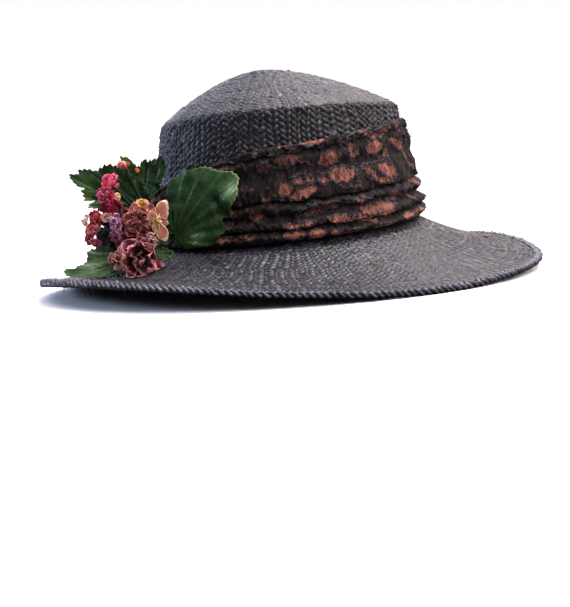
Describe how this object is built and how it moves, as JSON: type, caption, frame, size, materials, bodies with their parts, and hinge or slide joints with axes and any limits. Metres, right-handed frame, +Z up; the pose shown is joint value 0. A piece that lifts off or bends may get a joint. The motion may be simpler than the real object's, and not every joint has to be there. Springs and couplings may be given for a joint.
{
  "type": "wide-brim hat",
  "caption": "Wide-brim woven straw hat with a domed crown, a plaited brim edge, a folded lace band and a spray of cloth leaves and florets at one side",
  "frame": {"origin": "bottom centre of the whole hat's box, on the surface that the brim rests on", "axes": "+Z up, +X the front of the hat, -Y the wearer's right side, which carries the spray"},
  "size_m": [0.378, 0.34, 0.159],
  "materials": {
    "straw": "satin dyed plant straw, plaited",
    "straw_edge": "glossy dyed plant straw, plaited",
    "lace": "copper satin under black corded lace",
    "leaf_cloth": "stiffened satin cloth",
    "petal_red": "matte cloth",
    "petal_mauve": "matte cloth",
    "petal_peach": "matte cloth",
    "stem_wrap": "wound tape"
  },
  "bodies": {
    "root": {"crown": "straw", "brim": "straw", "edge_plait": "straw_edge", "lace_band": "lace", "leaf_on_crown": "leaf_cloth", "leaf_back_left": "leaf_cloth", "leaf_back_up": "leaf_cloth", "leaf_on_brim": "leaf_cloth", "leaf_under_floret": "leaf_cloth", "floret_red_upper": "petal_red", "floret_red_lower": "petal_red", "floret_bud": "petal_peach", "floret_mauve_low": "petal_mauve", "floret_mauve_upper": "petal_mauve", "floret_purple": "petal_mauve", "floret_peach": "petal_peach", "spray_stems": "stem_wrap"}
  },
  "joints": []
}
